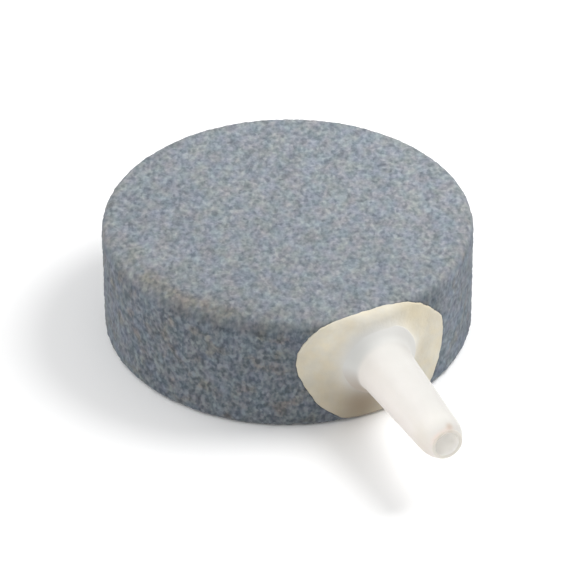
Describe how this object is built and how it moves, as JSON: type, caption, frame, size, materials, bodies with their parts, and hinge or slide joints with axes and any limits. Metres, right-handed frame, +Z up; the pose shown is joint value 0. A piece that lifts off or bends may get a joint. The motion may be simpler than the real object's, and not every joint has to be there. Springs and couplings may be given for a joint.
{
  "type": "air stone",
  "caption": "Disc-shaped porous air stone with a tapered airline nozzle sealed into its side wall.",
  "frame": {"origin": "on the disc's axis, in the flat bottom face that the stone rests on", "axes": "+Z up, along the disc's axis; +X along the nozzle's axis, out of the side wall; the nozzle's axis lies 1.4 mm to the +Y side of the disc's axis and 7.35 mm above the bottom face"},
  "size_m": [0.0565, 0.04, 0.013],
  "materials": {
    "bonded_grain": "rough porous grain, blue-grey with light and dark speckle",
    "nozzle_plastic": "satin white moulded plastic, slightly translucent",
    "sealing_compound": "matte cream cured epoxy, smeared by hand"
  },
  "bodies": {
    "root": {"stone_body": "bonded_grain", "air_nozzle": "nozzle_plastic", "sealing_compound": "sealing_compound"}
  },
  "joints": []
}
